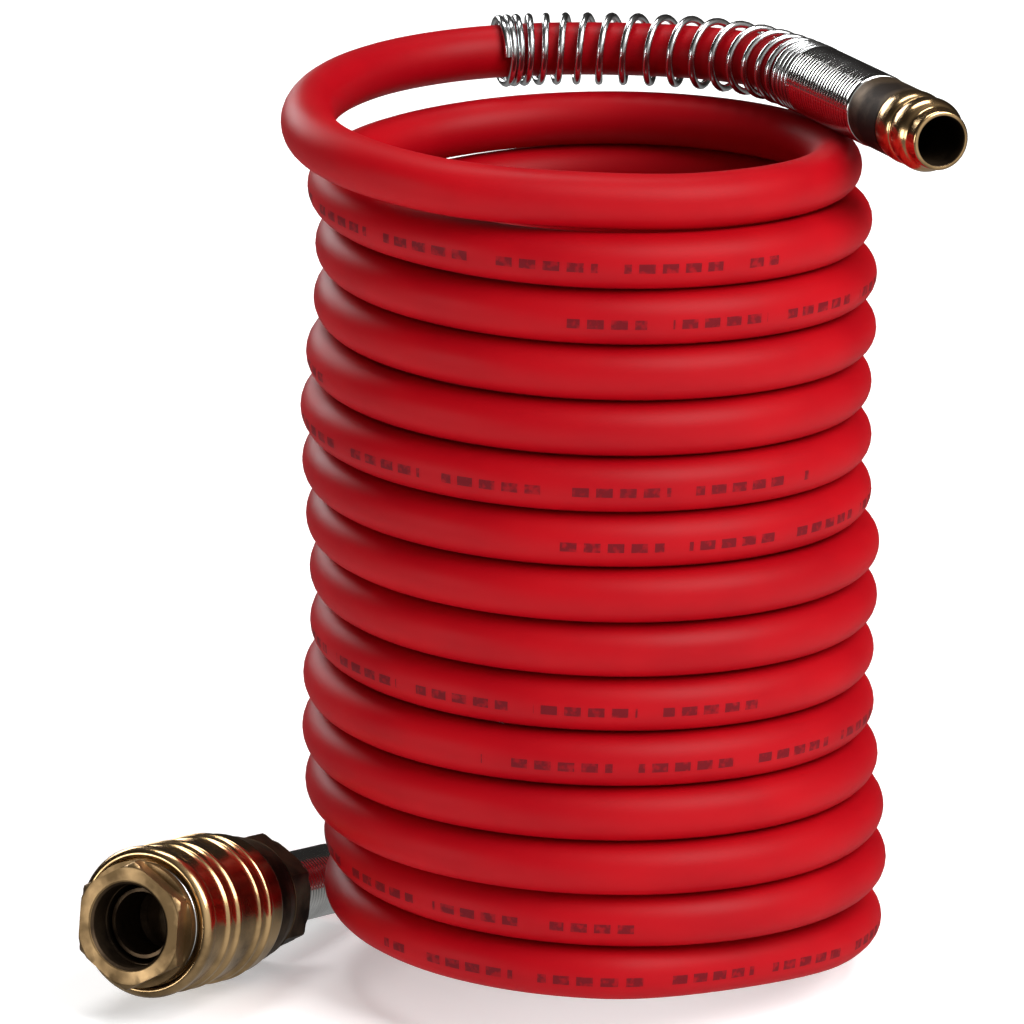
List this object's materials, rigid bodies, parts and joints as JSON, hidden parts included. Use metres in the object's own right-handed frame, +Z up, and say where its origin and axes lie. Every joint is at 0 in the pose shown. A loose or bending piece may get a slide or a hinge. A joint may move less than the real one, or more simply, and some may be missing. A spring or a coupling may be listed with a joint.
{
  "type": "coiled air hose",
  "caption": "Coiled compressed-air hose with a guard spring and ribbed plug at one end and a sliding-sleeve quick coupler at the other.",
  "frame": {"origin": "on the floor, under the axis of the coil", "axes": "+Z up along the coil, X to the right and Y to the back, with the coupler at the front left"},
  "size_m": [0.1294, 0.0981, 0.14],
  "materials": {
    "hose_red": "smooth extruded nylon, satin gloss",
    "brass": "turned brass",
    "brass_sleeve": "turned and polished brass",
    "nickel_plate": "turned, nickel-chrome plated",
    "steel": "bright spring steel",
    "seal_rubber": "matt"
  },
  "bodies": {
    "root": {"barrel_gasket": "seal_rubber", "coupler_body": "brass", "coupler_clamp_ring": "brass", "coupler_nose": "brass", "coupler_nut": "nickel_plate", "coupler_tailpiece": "brass", "guard_spring": "nickel_plate", "hose_coil": "hose_red", "hose_end_in_coupler": "hose_red", "hose_end_in_plug": "hose_red", "hose_tail_run": "hose_red", "hose_top_run": "hose_red", "locking_balls": "steel", "plug_body": "brass", "plug_clamp_ring": "brass", "plug_nut": "nickel_plate", "sleeve_clip": "steel", "sleeve_spring": "steel", "valve_seal": "seal_rubber", "valve_spring": "steel"},
    "sleeve": {"coupler_sleeve": "brass_sleeve"},
    "valve": {"valve_poppet": "brass"}
  },
  "joints": [
    {"name": "sleeve_slide", "type": "slide", "parent": "root", "child": "sleeve", "axis": [0.4561, 0.8761, -0.1564], "range_m": [0, 0.003], "stiffness_N_per_m": 1500, "springref_m": -0.002},
    {"name": "valve_slide", "type": "slide", "parent": "root", "child": "valve", "axis": [0.4561, 0.8761, -0.1564], "range_m": [0, 0.006], "stiffness_N_per_m": 500, "springref_m": -0.003}
  ]
}
